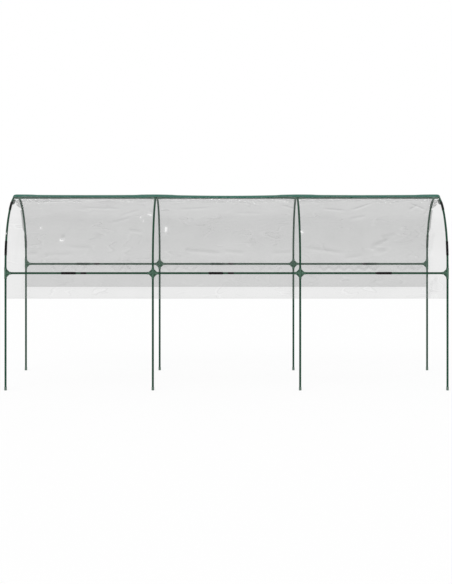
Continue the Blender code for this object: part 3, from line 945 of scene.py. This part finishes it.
def film_columns(settings):
    """X of the film's columns between the ones that wrap its ends."""
    clip_ends = [
        x + sign * (CLIP_LENGTH / 2 + 0.015) for x in RAIL_CLIP_XS for sign in ENDS.values()]
    place = -TUNNEL_END + NIP_REACH
    places = []
    while place < TUNNEL_END - NIP_REACH - settings.spacing / 2:
        places.append(place)
        fine = nearest(place, clip_ends) < 0.018 or nearest(place, HOOP_XS) < 0.03
        place += FILM_STEP_AT_TUBES if fine else settings.spacing
    return places + [TUNNEL_END - NIP_REACH]


def clip_hold(distance, fade):
    """1 under a clip, from the distance to its middle, fading to 0 past its ends."""
    return smooth(CLIP_LENGTH / 2 + fade, CLIP_LENGTH / 2 + 0.002, distance)


def front_lobe(across):
    """1 where the margin is bunched inward over the end of a front high clip."""
    return zone(np.abs(across) - HIGH_CLIP_PLACE, *FRONT_LOBE) * (across < 0)


def rear_lobe(across):
    """1 where the margin stands out past a rear high clip."""
    return zone(np.abs(across) - HIGH_CLIP_PLACE, *REAR_LOBE) * (across > 0)


def loose_share(across):
    """1 where the margin is free of the hoop: on the rear, between its clips and at the lobe."""
    return np.maximum(zone(across, *FREE_STRETCH), rear_lobe(across))


def mixed(first, second, share):
    """Two courses of the film, each a height and a place, blended by a share."""
    return tuple(a + (b - a) * share for a, b in zip(first, second))


def past_turn(share, turn_share, whole_turn):
    """How far a course has turned round the tube, and what share of the rest it has gone."""
    past = max(share - turn_share, 0.0) / (1 - turn_share)
    return whole_turn * min(share / turn_share, 1.0), past


def wound_course(share, top, over_tube, bunched):
    """The margin in front: wound round the tube, its edge tucked in."""
    turn, past = past_turn(share, WOUND_SHARE, FULL_WRAP)
    tucked = (TUCK + LOBE_REACH * bunched) * past
    return top * math.cos(turn) - TUCK * past, over_tube * math.sin(turn) - tucked


def free_course(share, top, flared):
    """The margin behind: it leaves the tube and stands free."""
    turn, past = past_turn(share, FREE_SHARE, FREE_SLOPE)
    out = past * (FREE_REACH + LOBE_REACH * flared)
    return top * math.cos(turn) - out * FREE_DROP, top * math.sin(turn) + out


def clipped_course(step, bunched, flared):
    """The margin at a hoop clip: nipped, then turned inward in front and outward behind."""
    height, place = MARGIN[step]
    past = max(step - len(MARGIN) + FREE_STEPS + 1, 0) / FREE_STEPS
    inward, outward = (
        (height + rise * past, place + out * past) for rise, out in (BUNCHED_EDGE, FLARED_EDGE))
    return mixed(mixed((height, place), inward, bunched), outward, flared)


def end_columns(across, settings):
    """Height and outward place of the rows, column by column out past an end hoop.

    The margin is wound round the tube in front, stands free behind, is nipped under the clips
    and is flat below the rails. Beside a high clip it is bunched inward in front, and stands out
    behind.
    """
    top = film_contact(np.full_like(across, TUNNEL_END), across)
    nipped = clip_hold(nearest(np.abs(across), HOOP_CLIP_PLACES), HOOP_CLIP_FADE)
    hanging = smooth(RAIL_ACROSS + HANGING[0], RAIL_ACROSS + HANGING[1], np.abs(across))
    bunched = front_lobe(across)
    flared = rear_lobe(across)
    over_tube = top + RIDGE_ROLL * smooth(0.170, 0.070, np.abs(across))
    columns = []
    for plain, height, place in NIP[1:NIP_TOP]:
        lift = film_lift(np.full_like(across, TUNNEL_END + plain), across, settings)
        columns.append(mixed((lift, plain), (height, place), nipped))
    for step in range(len(MARGIN)):
        share = step / (len(MARGIN) - 1)
        wound = wound_course(share, top, over_tube, bunched)
        course = mixed(wound, free_course(share, top, flared), loose_share(across))
        course = mixed(course, clipped_course(step, bunched, flared), nipped)
        columns.append(mixed(course, (top, TUBE_RADIUS * share), hanging))
    return columns


def tube_contact(x, across):
    """1 where film lies on a tube or a rail joint's webs, so that its haze doesn't show."""
    from_hoop = nearest(x, HOOP_XS)
    from_rail = np.abs(np.abs(across) - RAIL_ACROSS)
    from_tube = np.minimum(from_hoop, from_rail)
    on_tube = smooth(TUBE_RADIUS + 0.0003, TUBE_RADIUS - 0.0025, from_tube)
    on_web = smooth(0.80 * JOINT_REACH, 0.66 * JOINT_REACH, from_hoop + from_rail)
    return np.maximum(on_tube, on_web)


def film_density(x, across, margin, creases, settings):
    """Share of light that the film stops.

    It is more in the creases and where the loose wrinkles stand higher, and less in a line beside
    each crease (painted shade and painted highlight). It is also more in the welded hem, in the rear
    half (painted shade of the tunnel's inside), in the free margin at the rear, and in a band
    half-way up the arch.
    """
    depth = np.abs(across)
    rear = smooth(-0.05, 0.05, across)
    weld = smooth(HEM_ACROSS - 0.014, HEM_ACROSS - 0.010, depth)
    doubled = rear * smooth(0.25, 0.45, margin) * loose_share(across)
    reach = depth + waves(x, BAND_WAVES)
    high = across_at(BAND_TOP)
    low = across_at(BAND_FOOT)
    band = zone(reach, high - 0.03, high + 0.03, low - 0.04, low + 0.04)
    lower = smooth(low - 0.04, low + 0.04, reach)
    # The rear half's extra density is painted shade of the tunnel's inside.
    hazy = settings.density + settings.rear_shade_density * rear + BAND_DENSITY * band
    hazy = hazy + LOWER_DENSITY * lower + HEM_DENSITY * weld + FREE_DENSITY * doubled
    # Painted shade in the creases and loose wrinkles, with a painted highlight beside each crease.
    hazy = hazy + CREASE_SHADE_DENSITY * np.clip(creases, -0.006, 0.006)
    return hazy * (1 - 0.95 * tube_contact(x, across))


def dark_folds_and_shade(x, across, margin):
    """Film bunched in dark folds beside the front high clips, and on the rear rail with painted shade."""
    beside_clips = smooth(0.15, 0.75, front_lobe(across)) * smooth(0.50, 0.62, margin) * 0.88
    on_rail = np.zeros_like(x)
    for x_mid, length in RAIL_FOLDS_AND_SHADE:
        on_rail = np.maximum(on_rail, np.exp(-((x - x_mid) / length * 2) ** 2))
    # Painted shade of the folds on the rear rail.
    on_rail = on_rail * np.exp(-((across - RAIL_ACROSS) / FOLD_WIDTH) ** 2) * 0.85
    return np.maximum(beside_clips, on_rail)


def flanked(between, end):
    """Columns with the end's columns past both ends of the tunnel."""
    return np.hstack([end[:, ::-1], between, end])


def looseness(x, across):
    """1 where the film is free to wrinkle, 0 where a tube holds it, and a little at the ridge."""
    from_rail = np.abs(np.abs(across) - RAIL_ACROSS)
    loose = smooth(*LOOSE_FROM_HOOP, nearest(x, HOOP_XS)) * smooth(*LOOSE_FROM_RAIL, from_rail)
    return loose * (smooth(*LOOSE_FROM_RIDGE, np.abs(across)) * 0.8 + 0.2)


def over_hoops(x, place, lift):
    """Points at a height over the hoops' centre line, from their places along it."""
    turn = np.clip(place / ARCH_RADIUS, -math.pi / 2, math.pi / 2)
    radius = ARCH_RADIUS + lift
    drop = np.maximum(np.abs(place) - QUARTER_ARCH, 0.0)
    return np.stack(
        [x, radius * np.sin(turn), SPRING_HEIGHT + radius * np.cos(turn) - drop], axis=-1)


def sheet_mesh(name, points, fields):
    """A mesh of rows and columns of points, with each field's value at every point."""
    corner = np.arange(points.size // 3).reshape(points.shape[:2])
    faces = np.stack(
        [corner[:-1, :-1], corner[:-1, 1:], corner[1:, 1:], corner[1:, :-1]], axis=-1)
    mesh = bpy.data.meshes.new(name)
    mesh.from_pydata(points.reshape(-1, 3).tolist(), [], faces.reshape(-1, 4).tolist())
    for label, values in fields.items():
        layer = mesh.attributes.new(label, "FLOAT", "POINT")
        layer.data.foreach_set("value", values.astype(np.float32).ravel())
    mesh.shade_smooth()
    return mesh


def film_mesh(settings):
    """The whole film as one sheet of rows across the tunnel, each made of the columns along it."""
    across, nip_height, nip_place = np.array(film_rows(settings)).T
    x, a = np.meshgrid(film_columns(settings), across)
    front = (a < 0).astype(float)
    dents = crease_field(x, a) * front
    # Painted shade in each crease, with a painted highlight, a clearer line, just below it.
    marks = dents - PAINTED_HIGHLIGHT_SHARE * (crease_field(x, a + CREASE_HIGHLIGHT_OFFSET) * front)
    loose = noise_field(x, a, settings.seed) * settings.wrinkle_height
    lift = film_lift(x, a, settings) + (loose - dents) * looseness(x, a)
    held = clip_hold(nearest(x, RAIL_CLIP_XS), RAIL_CLIP_FADE) * ~np.isnan(nip_height)[:, None]
    lift = lift + (np.nan_to_num(nip_height)[:, None] - lift) * held
    place = a + (nip_place[:, None] - a) * held

    ends = np.array(end_columns(across, settings))
    heights, outs = ends.transpose(1, 2, 0)
    plain_end = np.repeat(across[:, None], len(ends), axis=1)
    share = np.arange(len(ends)) - (len(ends) - len(MARGIN))
    share = np.repeat(np.clip(share, 0, None)[None, :] / (len(MARGIN) - 1), len(across), axis=0)
    margin = flanked(np.zeros_like(a), share)
    # Painted shade of the loose wrinkles, more where they stand higher.
    marks = marks + WRINKLE_SHADE * loose / settings.wrinkle_height
    marks = flanked(marks, np.zeros_like(plain_end))
    plain = flanked(a, plain_end)
    x = np.hstack([-TUNNEL_END - outs[:, ::-1], x, TUNNEL_END + outs])
    # Painted white highlights: small glints on the film.
    glints = np.zeros_like(x)
    for x_mid, height, length, degrees, bend in PAINTED_GLINTS:
        line = stroke(x, plain, x_mid, height, length, degrees, GLINT_WIDTH, bend)
        glints = np.maximum(glints, line)
    points = over_hoops(x, flanked(place, plain_end), flanked(lift, heights))
    return sheet_mesh("film", points, {
        "film_density": film_density(x, plain, margin, marks, settings),
        "film_ridge": smooth(0.20, 0.15, np.abs(plain)) * smooth(0.45, 0.05, margin),
        "film_fold_and_shade": dark_folds_and_shade(x, plain, margin),
        "film_glint": np.clip(glints * 1.6, 0.0, 0.95),
    })


class GREENHOUSE_OT_stage(bpy.types.Operator):
    """Make the floor, the light and the camera."""
    bl_idname = "greenhouse.stage"
    bl_label = "Stage"

    def execute(self, context):
        settings = context.scene.greenhouse_stage
        self.make_floor(settings)
        self.make_light(context.scene, settings)
        self.make_camera(context.scene, settings)
        return {"FINISHED"}

    def shown_rays(self, tree):
        """1 for rays that show the backdrop: the camera's, in gloss and through clear things."""
        rays = add_node(tree, "ShaderNodeLightPath").outputs
        some = add_node(tree, MATHS, MOST, [rays["Is Camera Ray"], rays["Is Glossy Ray"]])
        return add_node(tree, MATHS, MOST, [some, rays["Is Transmission Ray"]])

    def make_floor(self, settings):
        """Matt painted board: white to the camera except for the object's shadow."""
        half = settings.floor_size / 2
        mesh = bpy.data.meshes.new("floor")
        corners = [(-half, -half, 0), (half, -half, 0), (half, half, 0), (-half, half, 0)]
        mesh.from_pydata(corners, [], [(0, 1, 2, 3)])
        material, tree, shader, place = begin_material("matt_painted_board")
        mottle = add_node(tree, NOISE, None, {"Vector": place, "Scale": per(900), "Detail": 2.0})
        tone = add_node(tree, RANGE, None, [mottle, 0.0, 1.0, 0.985, 1.0])
        colour = add_node(tree, "ShaderNodeVectorMath", {"operation": "SCALE"}, {
            0: settings.floor[:3], "Scale": tone})
        set_inputs(shader, {"Base Color": colour, "Roughness": 0.9})
        glow = add_node(tree, "ShaderNodeEmission", None, {"Strength": 1.0})
        share = add_node(tree, MATHS, MULTIPLY, [self.shown_rays(tree), settings.white_share])
        both = add_node(tree, "ShaderNodeMixShader", None, [share, shader, glow])
        set_inputs(tree.nodes["Material Output"], {"Surface": both})
        mesh.materials.append(material)
        add_object("floor", mesh)

    def make_light(self, scene, settings):
        """Even light all round, and one broad soft lamp from above the left shoulder."""
        world = bpy.data.worlds.new("studio")
        world.use_nodes = True
        scene.world = world
        tree = world.node_tree
        tree.nodes.clear()
        light, white = (
            add_node(tree, "ShaderNodeBackground", None, {"Color": WHITE, "Strength": strength})
            for strength in (settings.sky_level, 1.0))
        both = add_node(tree, "ShaderNodeMixShader", None, [self.shown_rays(tree), light, white])
        add_node(tree, "ShaderNodeOutputWorld", None, {"Surface": both})
        lamp = bpy.data.lights.new("main_lamp", "SUN")
        lamp.energy = settings.sun_level
        lamp.angle = math.radians(35.0)
        sun = add_object("main_lamp", lamp)
        sun.rotation_euler = (math.radians(42.0), 0.0, math.radians(-28.0))

    def make_camera(self, scene, settings):
        """A level camera square to the front, a little over the ridge."""
        data = bpy.data.cameras.new("camera")
        data.lens = settings.lens
        data.shift_x = -settings.side_shift
        data.shift_y = -settings.horizon_shift
        camera = add_object("camera", data)
        camera.location = (0.0, -settings.eye_distance, settings.eye_height)
        camera.rotation_euler = (math.radians(90.0), 0.0, 0.0)
        scene.camera = camera
        scene.view_settings.view_transform = "Standard"


class GREENHOUSE_OT_tubes(bpy.types.Operator):
    """Make the legs, the quarter arches, the side rails and the ridge tubes."""
    bl_idname = "greenhouse.tubes"
    bl_label = "Steel tubes"

    def execute(self, context):
        settings = context.scene.greenhouse_tubes
        steel = powder_coated_steel(settings)
        tree = bent_tube_tree()
        values = {"Tube Radius": TUBE_RADIUS, "Facets": settings.facets, "Material": steel}
        for name, (node, points) in self.centre_lines(settings.bend_steps).items():
            line = bpy.data.meshes.new(name)
            line.from_pydata(points, [(end - 1, end) for end in range(1, len(points))], [])
            add_piece(name, shade(run_tree(tree, line, values)), steel, node)
        return {"FINISHED"}

    def centre_lines(self, bend_steps):
        """Each tube's name, its solid's node and its centre line."""
        lines = {}
        for side, sign in SIDES.items():
            y = sign * ARCH_RADIUS
            for number, x in HOOPS:
                leg = [Vector((x, y, z)) for z in (LEG_FOOT, RAIL_HEIGHT - TUBE_STOP)]
                arch = self.arch_line(x, sign, bend_steps)
                lines[f"{side}_leg_tube_{number}"] = f"leg_{side}_{number}", leg
                lines[f"{side}_hoop_tube_{number}"] = f"arch_{side}_{number}", arch
            for bay in BAYS:
                rail = self.bay_line(bay, y, RAIL_HEIGHT)
                lines[f"{side}_side_rail_{bay}"] = f"rail_{side}_{bay}", rail
        for bay in BAYS:
            lines[f"ridge_rail_{bay}"] = f"ridge_tube_{bay}", self.bay_line(bay, 0, RIDGE_HEIGHT)
        return lines

    def arch_line(self, x, sign, steps):
        """Centre line of a quarter arch: a straight end in the rail joint, then the bend."""
        end_angle = math.pi / 2 - TUBE_STOP / ARCH_RADIUS
        bend = [arch_point(end_angle * step / steps, sign) for step in range(steps + 1)]
        stub = Vector((0, sign * ARCH_RADIUS, RAIL_HEIGHT + TUBE_STOP))
        return [point + ALONG * x for point in [stub] + bend]

    def bay_line(self, bay, y, z):
        """Centre line of a tube that spans one bay."""
        left, right = HOOP_XS[bay - 1:bay + 1]
        return [Vector((left + TUBE_STOP, y, z)), Vector((right - TUBE_STOP, y, z))]


class GREENHOUSE_OT_joints(bpy.types.Operator):
    """Make the rail joints and the ridge joints."""
    bl_idname = "greenhouse.joints"
    bl_label = "Moulded joints"

    def execute(self, context):
        settings = context.scene.greenhouse_joints
        green = moulded_plastic(
            "moulded_green_polypropylene", settings.green, settings.green_pale, 0.52, 0.9, 0.25)
        ways = {True: (1,), False: (1, -1)}
        rail = {is_end: rail_joint_mesh(settings, ways[is_end]) for is_end in ways}
        ridge = {is_end: ridge_joint_mesh(settings, ways[is_end]) for is_end in ways}
        for number, x in HOOPS:
            seats = [(ridge, f"ridge_socket_{number}", f"ridge_joint_{number}", 0.0, TOP_HEIGHT)]
            for side, sign in SIDES.items():
                seats.append((
                    rail, f"{side}_corner_socket_{number}", f"rail_joint_{side}_{number}",
                    sign * ARCH_RADIUS, RAIL_HEIGHT))
            for shapes, name, node, y, z in seats:
                shape = shapes[number in (1, HOOP_COUNT)]
                mesh = placed(shape, Vector((x, y, z)), turned=number == HOOP_COUNT)
                add_piece(name, mesh, green, node)
        return {"FINISHED"}


class GREENHOUSE_OT_feet(bpy.types.Operator):
    """Make the foot caps."""
    bl_idname = "greenhouse.feet"
    bl_label = "Foot caps"

    def execute(self, context):
        settings = context.scene.greenhouse_joints
        grey = moulded_plastic(
            "moulded_foot_polyethylene", settings.foot, settings.foot, 0.60, 0.7, 0.25)
        cap = foot_cap_mesh(settings, grip_rib_tree(), grey)
        for side, sign in SIDES.items():
            for number, x in HOOPS:
                mesh = placed(cap, Vector((x, sign * ARCH_RADIUS, 0)))
                node = f"foot_{side}_{number}"
                add_piece(f"{side}_foot_cap_{number}", mesh, grey, node)
        return {"FINISHED"}


class GREENHOUSE_OT_clips(bpy.types.Operator):
    """Make the snap clips on the rails and on the end hoops."""
    bl_idname = "greenhouse.clips"
    bl_label = "Snap clips"

    def execute(self, context):
        settings = context.scene.greenhouse_clips
        black = moulded_plastic(
            "moulded_black_polypropylene", settings.black, linear("0e0f0e"), 0.46, 0.6, 0.08)
        for side, sign in SIDES.items():
            for bay in BAYS:
                node = f"rail_clip_{side}_{bay}"
                centre = Vector((middle(node).x, sign * ARCH_RADIUS, RAIL_HEIGHT))
                out = Vector((0, sign, 0))
                mesh = clip_mesh(settings, lambda place: (centre + ALONG * place, out, UP))
                add_piece(f"{side}_rail_snap_clip_{bay}", mesh, black, node)
            for end, x_sign in ENDS.items():
                for level, angle in CLIP_ANGLES.items():
                    def locate(place):
                        here = angle + place / ARCH_RADIUS
                        point = arch_point(here, sign) + ALONG * (x_sign * TUNNEL_END)
                        return point, Vector((0, sign * math.cos(here), math.sin(here))), ALONG

                    node = f"hoop_clip_{side}_{end}_{level}"
                    name = f"{side}_{end}_{level}_snap_clip"
                    add_piece(name, clip_mesh(settings, locate), black, node)
        return {"FINISHED"}


class GREENHOUSE_OT_sleeves(bpy.types.Operator):
    """Make the short black sleeves on the rails, under the film."""
    bl_idname = "greenhouse.sleeves"
    bl_label = "Rail sleeves"

    def execute(self, context):
        settings = context.scene.greenhouse_clips
        black = moulded_plastic(
            "moulded_black_sleeve", settings.black, linear("101110"), 0.55, 0.8, 0.10)
        half = settings.sleeve_length / 2
        end = [(half - 0.0004, TUBE_RADIUS + 0.00035), (half, TUBE_RADIUS + 0.0001)]
        for side, sign in SIDES.items():
            for bay in BAYS:
                x = HOOP_XS[bay - 1] + settings.sleeve_place
                centre = Vector((x, sign * ARCH_RADIUS, RAIL_HEIGHT))
                mesh = round_body(straight(centre, ALONG, reflected(end) + end), UP, 28)
                add_piece(f"{side}_rail_sleeve_{bay}", mesh, black)
        return {"FINISHED"}


class GREENHOUSE_OT_film(bpy.types.Operator):
    """Make the clear film from hem to hem."""
    bl_idname = "greenhouse.film"
    bl_label = "Clear film"

    def execute(self, context):
        settings = context.scene.greenhouse_film
        mesh = film_mesh(settings)
        clear = clear_blown_film(settings)
        film = add_piece("clear_film_sheet", mesh, clear, "cover")
        carriers = [f"{side}_hoop_tube_{number}" for side in SIDES for number, x in HOOPS]
        carriers += [f"{side}_side_rail_{bay}" for side in SIDES for bay in BAYS]
        return {"FINISHED"}


class GREENHOUSE_PT_panel(bpy.types.Panel):
    """Lists the steps that build the greenhouse."""
    bl_label = "Tunnel greenhouse"
    bl_idname = "GREENHOUSE_PT_panel"
    bl_space_type = "VIEW_3D"
    bl_region_type = "UI"
    bl_category = "Greenhouse"

    def draw(self, context):
        for step in STEPS:
            self.layout.operator(step.bl_idname)


STEPS = (
    GREENHOUSE_OT_stage, GREENHOUSE_OT_tubes, GREENHOUSE_OT_joints, GREENHOUSE_OT_feet,
    GREENHOUSE_OT_clips, GREENHOUSE_OT_sleeves, GREENHOUSE_OT_film,
)
SETTINGS = {
    "greenhouse_tubes": TubeSettings, "greenhouse_joints": JointSettings,
    "greenhouse_clips": ClipSettings, "greenhouse_film": FilmSettings,
    "greenhouse_stage": StageSettings,
}


def register():
    for item in (*SETTINGS.values(), *STEPS, GREENHOUSE_PT_panel):
        bpy.utils.register_class(item)
    for name, group in SETTINGS.items():
        setattr(bpy.types.Scene, name, bpy.props.PointerProperty(type=group))


def unregister():
    for name in SETTINGS:
        delattr(bpy.types.Scene, name)
    for item in (GREENHOUSE_PT_panel, *STEPS, *SETTINGS.values()):
        bpy.utils.unregister_class(item)


def main():
    register()
    bpy.ops.greenhouse.stage()
    bpy.ops.greenhouse.tubes()
    bpy.ops.greenhouse.joints()
    bpy.ops.greenhouse.feet()
    bpy.ops.greenhouse.clips()
    bpy.ops.greenhouse.sleeves()
    bpy.ops.greenhouse.film()


if __name__ == "__main__":
    main()
